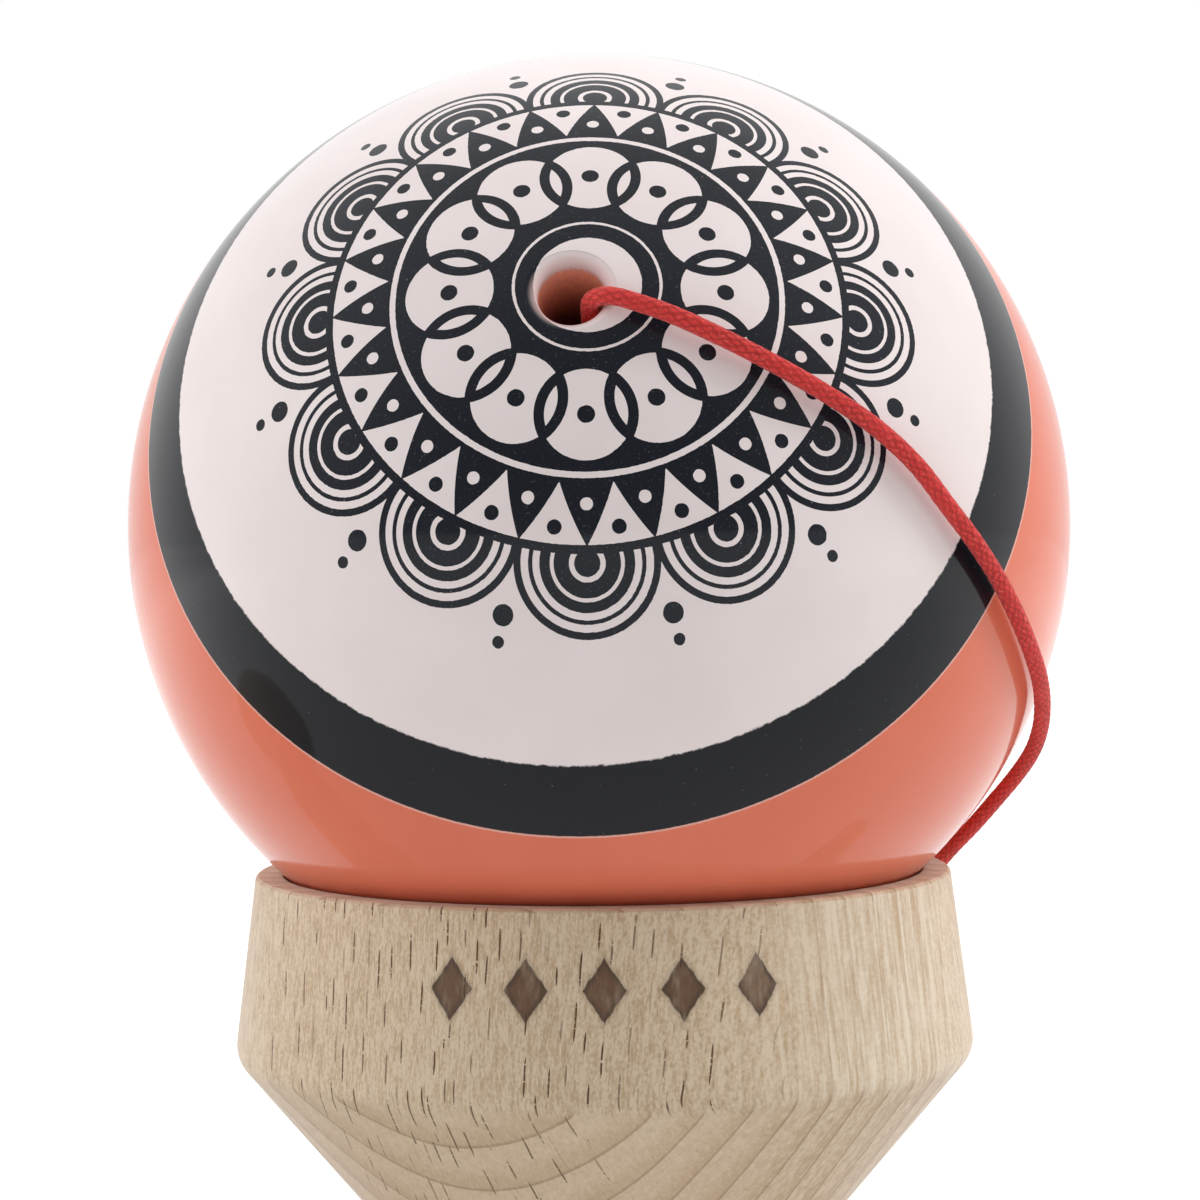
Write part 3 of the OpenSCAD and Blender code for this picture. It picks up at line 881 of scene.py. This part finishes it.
# The tail from the last turn to the string hole: degrees round the waist, millimetres over the handle's axis
TAIL_ROUTE = ((33, 10.0), (46, 8.8), (57, 7.1), (66, 5.2), (74, 3.4))
TAIL_SLOPE = math.radians(40)
WINDING_FROM = math.radians(126)
LOOP_STEPS = 24
BEND_STEPS = 5
IN_HOLE_STEPS = 5
ROW_STEP = 0.22 * MM
# Keeps a length that is divided by from being nothing, and a strand's edge on its own side
TINY, EDGE = 1e-9, 1e-6


def winding_radius(toy):
    return toy.cross.waist / 2 + toy.string.thickness / 2 + toy.string.gap


def knot_level(toy):
    """Distance from the cross piece's axis at which the string meets its inner knot."""
    return winding_radius(toy) - toy.string.bend - toy.string.thickness


def points_over_ball(toy):
    """The string's points from the bead's knot out of the hole, round its edge and over the ball."""
    ball, string = toy.ball, toy.string
    middle = ball_middle()
    axis = ball_turn(ball).to_matrix() @ Vector((0, 0, 1))
    route = [Vector(p) * MM for p in STRING_ROUTE]
    side = (route[0] - axis * route[0].dot(axis)).normalized()
    start = hole_levels(ball)[3]
    run = ball.ball / 2 + string.thickness / 2 + string.gap
    bend_at = string.lean + string.bend
    rise = math.sqrt((run - string.bend) ** 2 - bend_at**2)
    flat = []
    for k in range(IN_HOLE_STEPS):
        share = k / IN_HOLE_STEPS
        flat.append((eased(0, string.lean, share), start + (rise - start) * share))
    last = math.atan2(rise, bend_at)
    for k in range(BEND_STEPS + 1):
        a = math.pi + (last - math.pi) * k / BEND_STEPS
        flat.append((bend_at + string.bend * math.cos(a), rise + string.bend * math.sin(a)))
    return [*(middle + axis * up + side * out for out, up in flat), *(middle + p for p in route)]


def points_round_neck(toy):
    """The string's points from the neck, round it and into the cross piece to its knot."""
    string, level = toy.string, toy.cross.handle_height
    radius = winding_radius(toy)

    def on_waist(a, height):
        return Vector((radius * math.cos(a), radius * math.sin(a), level + height))

    first = on_waist(WINDING_FROM, string.winding_top)
    ahead = Vector((-math.sin(WINDING_FROM), math.cos(WINDING_FROM), 0)) * string.thickness
    points = [first - ahead, first, first + ahead]
    for k in range(1, round(string.turns * LOOP_STEPS) + 1):
        gone = k / LOOP_STEPS
        points.append(on_waist(WINDING_FROM + 2 * math.pi * gone, string.winding_top - string.pitch * gone))
    points += [on_waist(math.radians(a), height * MM) for a, height in TAIL_ROUTE]
    slope = Vector((math.cos(TAIL_SLOPE), 0, math.sin(TAIL_SLOPE)))
    for k in range(BEND_STEPS + 1):
        a = math.pi / 2 * (1 - k / BEND_STEPS)
        inward = Vector((0, radius - string.bend + string.bend * math.sin(a), level))
        points.append(inward + slope * string.bend * (1 - math.cos(a)))
    points.append(Vector((0, knot_level(toy), level)))
    return points


def smoothed(points, step):
    """A line of points at an even step along a smooth curve through the given ones, and its length."""
    fine = []
    ends = [points[0] * 2 - points[1], *points, points[-1] * 2 - points[-2]]
    for before, here, after, later in zip(ends, ends[1:], ends[2:], ends[3:]):
        size = (after - here).length
        leave = (after - before) * size / max(size + (here - before).length, TINY)
        reach = (later - here) * size / max((later - after).length + size, TINY)
        count = max(2, math.ceil(size / (step / 4)))
        for k in range(count):
            t = k / count
            fine.append(
                here * (2 * t**3 - 3 * t**2 + 1)
                + leave * (t**3 - 2 * t**2 + t)
                + after * (3 * t**2 - 2 * t**3)
                + reach * (t**3 - t**2)
            )
    fine.append(points[-1].copy())
    gone = [0.0]
    for here, after in zip(fine, fine[1:]):
        gone.append(gone[-1] + (after - here).length)
    count = max(2, round(gone[-1] / step))
    even, at = [], 0
    for k in range(count + 1):
        wanted = gone[-1] * k / count
        while at < len(gone) - 2 and gone[at + 1] < wanted:
            at += 1
        share = (wanted - gone[at]) / max(gone[at + 1] - gone[at], TINY)
        even.append(fine[at].lerp(fine[at + 1], share))
    return even, gone[-1]


def braided_tube(line, thickness, strands, plait, sides=32, relief=0.045):
    """A bmesh tube along a line, with the crowns of its strands raised, closed at both ends."""
    bm = bmesh.new()
    uv = bm.loops.layers.uv.new(BRAID_MAP)
    rows = len(line) - 1
    step = (line[1] - line[0]).length
    made = bmesh.ops.create_grid(bm, x_segments=rows, y_segments=sides, size=0.5, calc_uvs=True)
    for face in bm.faces:
        for loop in face.loops:
            loop[uv].uv = ((loop.vert.co.x + 0.5) * rows * step / plait, loop.vert.co.y + 0.5)
    aheads = [(b - a).normalized() for a, b in zip(line, line[1:])]
    aheads = [aheads[0], *((a + b).normalized() for a, b in zip(aheads, aheads[1:])), aheads[-1]]
    up = Vector((0.0, 0.3, 1.0))
    ups = []
    for ahead in aheads:
        up = (up - ahead * up.dot(ahead)).normalized()
        ups.append(up)
    for vert in made["verts"]:
        row, around = round((vert.co.x + 0.5) * rows), vert.co.y + 0.5
        a, along = 2 * math.pi * around, row * step / plait
        right, left = around * strands + along, around * strands - along
        cell = math.floor(right + EDGE) + math.floor(left + EDGE)
        across = right if cell % 2 == 0 else left
        crown = math.sin(math.pi * (across % 1.0))
        radius = thickness / 2 * (1 - relief + 2 * relief * crown)
        spoke = ups[row] * math.cos(a) + aheads[row].cross(ups[row]) * math.sin(a)
        vert.co = line[row] + spoke * radius
    bmesh.ops.remove_doubles(bm, verts=bm.verts, dist=MERGE)
    fill_ends(bm)
    bmesh.ops.recalc_face_normals(bm, faces=bm.faces)
    return bm


def keep_facing(made):
    """Writes the way that each corner of a piece faces to an attribute, which the grain of its wood reads."""
    kept = made.data.attributes.new(FACING, "FLOAT_VECTOR", "CORNER")
    for corner, normal in zip(kept.data, made.data.corner_normals):
        corner.vector = normal.vector


def dressed(made, body, slot, *nodes):
    """Puts a finished piece on the body that it rides on and hides the solids that it stands for; the slot is
    not used.
    """
    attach(made, body)
    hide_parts(*nodes)


# Operators


class TOY_OT_stage(bpy.types.Operator):
    """Make the camera, the floor, the lamps and the plain pale surroundings"""

    bl_idname = "toy.stage"
    bl_label = "Stage"

    CAMERA_PLACE = Vector((0.000006, -0.193354, 0.09397))
    CAMERA_DOWN = math.radians(1.1)
    CAMERA_ROLL = math.radians(0.66)
    LENS, SENSOR = 90.0, 36.0
    CLIP = (0.01, 20.0)
    LAMP_TARGET = Vector((0, 0, 0.075))
    LAMPS = (
        ("Right lamp", (0.75, 0.05, 0.75), 0.5, 5.2),
        ("Left lamp", (-0.85, 0.05, 0.6), 0.7, 3.6),
    )
    FLOOR_HALF = 3.0
    FLOOR_TONE = (0.76, 0.76, 0.76)
    FLOOR_FADE = (0.15, 0.8)
    FLOOR_GLOW, FAR_GLOW = 0.2, 0.35
    WHITE = (1, 1, 1)
    AMBIENT = 0.95
    FRONT = (0.2, 0.95)
    FRONT_SHARE = 0.24

    def camera(self):
        data = bpy.data.cameras.new("Camera")
        data.lens, data.sensor_width = self.LENS, self.SENSOR
        data.clip_start, data.clip_end = self.CLIP
        made = shown("Camera", data)
        level = Matrix.Rotation(math.pi / 2 - self.CAMERA_DOWN, 4, "X")
        roll = Matrix.Rotation(self.CAMERA_ROLL, 4, "Z")
        made.matrix_world = Matrix.Translation(self.CAMERA_PLACE) @ level @ roll.inverted()
        bpy.context.scene.camera = made

    def lamps(self):
        for name, place, size, power in self.LAMPS:
            data = bpy.data.lights.new(name, "AREA")
            data.shape, data.size, data.energy = "DISK", size, power
            made = shown(name, data)
            made.visible_glossy = False
            made.location = place
            made.rotation_euler = (self.LAMP_TARGET - Vector(place)).to_track_quat("-Z", "Y").to_euler()

    def seen_rays(self, graph):
        """1 for what the camera sees, and 1 for what the camera, a gloss or a glass sees."""
        rays = graph.node("ShaderNodeLightPath").outputs
        kinds = ("Camera", "Glossy", "Transmission")
        camera, gloss, glass = (graph.field(rays[f"Is {kind} Ray"]) for kind in kinds)
        return camera, camera | gloss | glass

    def floor(self):
        material = bpy.data.materials.new("Pale floor")
        graph = emptied(material)
        matt = graph.node("ShaderNodeBsdfDiffuse", {"Color": self.FLOOR_TONE})
        _, seen = self.seen_rays(graph)
        x, y, _ = graph.parts(graph.node("ShaderNodeTexCoord").outputs["Object"])
        far = graph.distance(x, y).soft(*self.FLOOR_FADE)
        strength = seen * (self.FLOOR_GLOW + far * self.FAR_GLOW)
        glow = graph.node("ShaderNodeEmission", {"Color": self.WHITE, "Strength": strength})
        both = graph.node("ShaderNodeAddShader", {0: matt.outputs[0], 1: glow.outputs[0]})
        graph.node("ShaderNodeOutputMaterial", {"Surface": both.outputs[0]})
        bm = bmesh.new()
        bmesh.ops.create_grid(bm, x_segments=1, y_segments=1, size=self.FLOOR_HALF)
        piece("Floor", bm, material)

    def surroundings(self):
        world = bpy.data.worlds.new("Pale surroundings")
        bpy.context.scene.world = world
        graph = emptied(world)
        camera, seen = self.seen_rays(graph)
        _, away, _ = graph.parts(graph.node("ShaderNodeTexCoord").outputs["Generated"])
        front = (0.0 - away).soft(*self.FRONT) * (1.0 - self.FRONT_SHARE) * ~camera
        strength = (self.AMBIENT + seen * (1.0 - self.AMBIENT)) * ~front
        sky = graph.node("ShaderNodeBackground", {"Color": self.WHITE, "Strength": strength})
        graph.node("ShaderNodeOutputWorld", {"Surface": sky.outputs[0]})

    def execute(self, context):
        context.scene.view_settings.view_transform = "Standard"
        self.camera()
        self.lamps()
        self.floor()
        self.surroundings()
        return {"FINISHED"}


class TOY_OT_knots(bpy.types.Operator):
    """Make the two stop knots at the ends of the string"""

    bl_idname = "toy.knots"
    bl_label = "Stop knots"

    STRAND_SHARE = 0.46
    STEPS = 96
    MIDDLE, SWING = 0.68, 0.32

    def knot(self, string):
        """A bmesh of an overhand knot drawn tight, with its top at the origin and its axis along Z."""
        strand = string.knot_height * self.STRAND_SHARE
        reach = string.knot / 2 - strand / 2
        lift = (string.knot_height - strand) / 2
        loop = []
        for k in range(self.STEPS + 1):
            t = 2 * math.pi * k / self.STEPS
            out = reach * (self.MIDDLE + self.SWING * math.cos(3 * t))
            loop.append(Vector((out * math.cos(2 * t), out * math.sin(2 * t), lift * math.sin(3 * t))))
        line, _ = smoothed(loop, ROW_STEP)
        bm = braided_tube(line, strand, string.strands, string.plait)
        return placed(bm, Matrix.Translation((0, 0, -string.knot_height / 2)))

    def execute(self, context):
        toy = context.scene.toy
        material = braid(toy.finish, toy.string.strands)
        place = in_ball(toy.ball, hole_levels(toy.ball)[3])
        made = piece("bead_knot_braid", placed(self.knot(toy.string), place), material)
        dressed(made, "string_end", "cord", "bead_knot")
        place = Matrix.Translation((0, knot_level(toy), toy.cross.handle_height))
        place = place @ Matrix.Rotation(-math.pi / 2, 4, "X")
        made = piece("cross_knot_braid", placed(self.knot(toy.string), place), material)
        dressed(made, "sarado", "cord", "sarado_knot")
        return {"FINISHED"}


class TOY_OT_bead(bpy.types.Operator):
    """Make the stop bead inside the ball"""

    bl_idname = "toy.bead"
    bl_label = "Bead"

    EDGE_ROUND = 0.3 * MM
    STEPS = 20
    ROUND_STEPS = 64
    PITH = (12 * MM, 20 * MM, 0)
    CONTRAST = 0.9

    def execute(self, context):
        toy = context.scene.toy
        ball = toy.ball
        radius, bore = ball.bead / 2, ball.bead_bore / 2
        first = math.asin(bore / radius)
        end = radius * math.cos(first)
        outline = [
            (bore, end, self.EDGE_ROUND),
            *ball_arc(radius, first, math.pi - first, self.STEPS),
            (bore, -end, self.EDGE_ROUND),
        ]
        bm = placed(turned(outline, closed=True, steps=self.ROUND_STEPS), in_ball(ball, hole_levels(ball)[2]))
        frame_of_grain = (ball_middle(), ball_turn(ball))
        material, *_ = wood_surface(
            "Bead wood", toy.finish, self.PITH, *frame_of_grain, toy.finish.bead, self.CONTRAST
        )
        made = piece("bead_turned", bm, material)
        keep_facing(made)
        dressed(made, "string_end", "bead_wood", "bead")
        return {"FINISHED"}


class TOY_OT_string(bpy.types.Operator):
    """Make the braided string from the bead to the cross piece, with its turns round the neck"""

    bl_idname = "toy.string"
    bl_label = "String"

    FOLLOWS_CROSS_BELOW = 0.0625
    FOLLOWS_BALL_ABOVE = 0.0935

    def execute(self, context):
        toy = context.scene.toy
        string = toy.string
        line, long = smoothed(points_over_ball(toy) + points_round_neck(toy), ROW_STEP)
        bm = braided_tube(line, string.thickness, string.strands, string.plait)
        made = piece("string_braid", bm, braid(toy.finish, string.strands))
        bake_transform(made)
        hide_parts("string", "string_winding")
        return {"FINISHED"}


class TOY_OT_ball(bpy.types.Operator):
    """Make the painted ball with its string hole and spike hole"""

    bl_idname = "toy.ball"
    bl_label = "Ball"

    STEPS = 120
    MOUTH_ROUND = 0.5 * MM
    CONE_ROUND = 1.5 * MM
    BORE_MARGIN = 0.1 * MM
    PITH = (4 * MM, 40 * MM, 0)

    def execute(self, context):
        toy = context.scene.toy
        ball = toy.ball
        radius, hole, bore = ball.ball / 2, ball.string_hole / 2, ball.spike_hole / 2
        top, foot, *_ = hole_levels(ball)
        mouth = bore + ball.spike_hole_bevel
        first, last = math.asin(hole / radius), math.pi - math.asin(mouth / radius)
        level = radius * math.cos(last)
        raw_from = level + ball.spike_hole_bevel
        outline = [
            (hole, top),
            (hole, radius * math.cos(first), ball.hole_round),
            *ball_arc(radius, first, last, self.STEPS),
            (mouth, level, self.MOUTH_ROUND),
            (bore, raw_from, self.MOUTH_ROUND),
            (bore, foot, self.CONE_ROUND),
        ]
        bm = turned(outline, closed=True)
        for face in bm.faces:
            middle = face.calc_center_median()
            in_bore = math.hypot(middle.x, middle.y) < bore + self.BORE_MARGIN
            face.material_index = 1 if in_bore and raw_from < middle.z < top else 0
        paint = painted(ball, ball_middle(), toy.finish)
        raw, *_ = wood_surface("Raw wood in the ball", toy.finish, self.PITH, ball_middle(), ball_turn(ball))
        made = piece("ball_painted", placed(bm, in_ball(ball)), paint, raw)
        keep_facing(made)
        dressed(made, "tama", "painted_wood", "tama")
        return {"FINISHED"}


class TOY_OT_cross_piece(bpy.types.Operator):
    """Make the turned cross piece with its two cups, the handle's bore and the string hole"""

    bl_idname = "toy.cross_piece"
    bl_label = "Cross piece"

    OUTSIDE = 2 * MM
    SINK = 0.5 * MM
    POCKET_ROOM = 0.2 * MM
    BORE_STEPS, HOLE_STEPS = 96, 48
    PITH = (-27.7 * MM, -61.5 * MM, 0)

    def bore_cutter(self, cross):
        """The handle's bore, with ends that follow the waist and open by a bevel."""
        waist, bevel = cross.waist / 2, cross.bore_bevel
        rings = (
            (cross.bore_in / 2 + bevel + self.OUTSIDE, -1, self.OUTSIDE),
            (cross.bore_in / 2, -1, -bevel),
            (cross.bore_out / 2, 1, -bevel),
            (cross.bore_out / 2 + bevel + self.OUTSIDE, 1, self.OUTSIDE),
        )
        bm = bmesh.new()
        ring = bmesh.ops.create_circle(bm, cap_ends=False, radius=1.0, segments=self.BORE_STEPS)["verts"]
        angles = [math.atan2(v.co.y, v.co.x) for v in ring]
        edges = list(bm.edges)
        for k, (radius, side, past) in enumerate(rings):
            if k:
                grown = bmesh.ops.extrude_edge_only(bm, edges=edges)["geom"]
                edges = [g for g in grown if isinstance(g, bmesh.types.BMEdge)]
                ring = [g for g in grown if isinstance(g, bmesh.types.BMVert)]
                angles = [math.atan2(v.co.y, v.co.z - cross.handle_height) for v in ring]
            for vert, a in zip(ring, angles):
                y = radius * math.sin(a)
                reach = math.sqrt(waist**2 - y**2) + past
                vert.co = (side * reach, y, cross.handle_height + radius * math.cos(a))
        fill_ends(bm)
        bmesh.ops.triangulate(bm, faces=[f for f in bm.faces if len(f.verts) > 4])
        bmesh.ops.recalc_face_normals(bm, faces=bm.faces)
        return piece("Bore", bm)

    def string_hole_cutter(self, toy):
        """The string hole in the back of the waist, with the pocket for its knot."""
        cross = toy.cross
        pocket, pocket_end = cross.pocket / 2, knot_level(toy) + self.POCKET_ROOM
        hole, face = cross.string_hole / 2, cross.waist / 2
        outline = [
            (0, 0),
            (pocket, 0),
            (pocket, pocket_end),
            (hole, pocket_end),
            (hole, face - self.SINK),
            (hole + self.SINK + self.OUTSIDE, face + self.OUTSIDE),
            (0, face + self.OUTSIDE),
        ]
        place = Matrix.Translation((0, 0, cross.handle_height)) @ Matrix.Rotation(-math.pi / 2, 4, "X")
        return piece("String hole", placed(turned(outline, steps=self.HOLE_STEPS), place))

    def execute(self, context):
        toy = context.scene.toy
        cross = toy.cross
        outline = cup_outline(cup_of(cross, "small"), cross.waist)
        for radius, depth, *rounding in reversed(cup_outline(cup_of(cross, "big"), cross.waist)):
            outline.append((radius, cross.height - depth, *rounding))
        made = piece("cross_piece_turned", turned(outline), burnt_beech(cross, toy.finish, self.PITH))
        cut_out(made, self.bore_cutter(cross), self.string_hole_cutter(toy))
        keep_facing(made)
        dressed(made, "sarado", "beech", "sarado")
        return {"FINISHED"}


class TOY_OT_handle(bpy.types.Operator):
    """Make the turned handle with its base cup, grip, tapered seat and spike"""

    bl_idname = "toy.handle"
    bl_label = "Handle"

    GRIP_STEPS = 24
    TIP_STEPS = 16
    SHOULDER_ROUND = 0.5 * MM
    ROOT_STEP = 1 * MM
    PITH = (9 * MM, 26 * MM, 0)

    def execute(self, context):
        toy = context.scene.toy
        handle, cross = toy.handle, toy.cross
        outline = []
        for radius, depth, *rounding in cup_outline(cup_of(handle, "base"), handle.grip_foot):
            outline.append((radius, depth - handle.base_reach, *rounding))
        foot = outline[-1][1] + FOOT_ROUND * math.tan((math.pi / 2 - CUP_SLOPE) / 2)
        stretches = (
            (handle.grip_foot, handle.grip_full, foot, -handle.grip_full_x),
            (handle.grip_full, handle.shoulder, -handle.grip_full_x, -handle.shoulder_x),
        )
        for wide, to_wide, start, end in stretches:
            for k in range(1, self.GRIP_STEPS + 1):
                share = k / self.GRIP_STEPS
                outline.append((eased(wide, to_wide, share) / 2, start + (end - start) * share))
        outline[-1] = (*outline[-1], self.SHOULDER_ROUND)
        seat, tip = cross.waist / 2, handle.spike_tip / 2
        outline += [
            (cross.bore_in / 2 - handle.fit_gap, -seat),
            (cross.bore_out / 2 - handle.fit_gap, seat),
            (handle.spike_root / 2, seat + self.ROOT_STEP, self.ROOT_STEP),
        ]
        for k in range(self.TIP_STEPS + 1):
            a = math.pi / 2 * k / self.TIP_STEPS
            outline.append((tip * math.cos(a), handle.spike_reach - tip + tip * math.sin(a)))
        along = Euler((0, math.pi / 2, 0))
        axis = Vector((0, 0, cross.handle_height))
        place = Matrix.Translation(axis) @ along.to_matrix().to_4x4()
        material, *_ = wood_surface("Beech of the handle", toy.finish, self.PITH, axis, along)
        made = piece("handle_turned", placed(turned(outline), place), material)
        keep_facing(made)
        dressed(made, "ken", "beech", "ken")
        return {"FINISHED"}


STEPS = (
    TOY_OT_stage,
    TOY_OT_knots,
    TOY_OT_bead,
    TOY_OT_string,
    TOY_OT_ball,
    TOY_OT_cross_piece,
    TOY_OT_handle,
)


class TOY_PT_panel(bpy.types.Panel):
    """The toy's steps and settings"""

    bl_idname = "TOY_PT_panel"
    bl_label = "Cup and ball toy"
    bl_space_type = "VIEW_3D"
    bl_region_type = "UI"
    bl_category = "Toy"

    def draw(self, context):
        layout = self.layout
        for step in STEPS:
            layout.operator(step.bl_idname)
        toy = context.scene.toy
        for sizes in (toy.ball, toy.cross, toy.handle, toy.string, toy.finish):
            column = layout.column(align=True)
            for name in sizes.__annotations__:
                column.prop(sizes, name)


CLASSES = (
    BallSizes,
    CrossPieceSizes,
    HandleSizes,
    StringSizes,
    Finishes,
    Toy,
    *STEPS,
    TOY_PT_panel,
)


def register():
    for made in CLASSES:
        bpy.utils.register_class(made)
    bpy.types.Scene.toy = PointerProperty(type=Toy)


def unregister():
    del bpy.types.Scene.toy
    for made in reversed(CLASSES):
        bpy.utils.unregister_class(made)


def main():
    register()
    for step in STEPS:
        family, name = step.bl_idname.split(".")
        getattr(getattr(bpy.ops, family), name)()


if __name__ == "__main__":
    main()
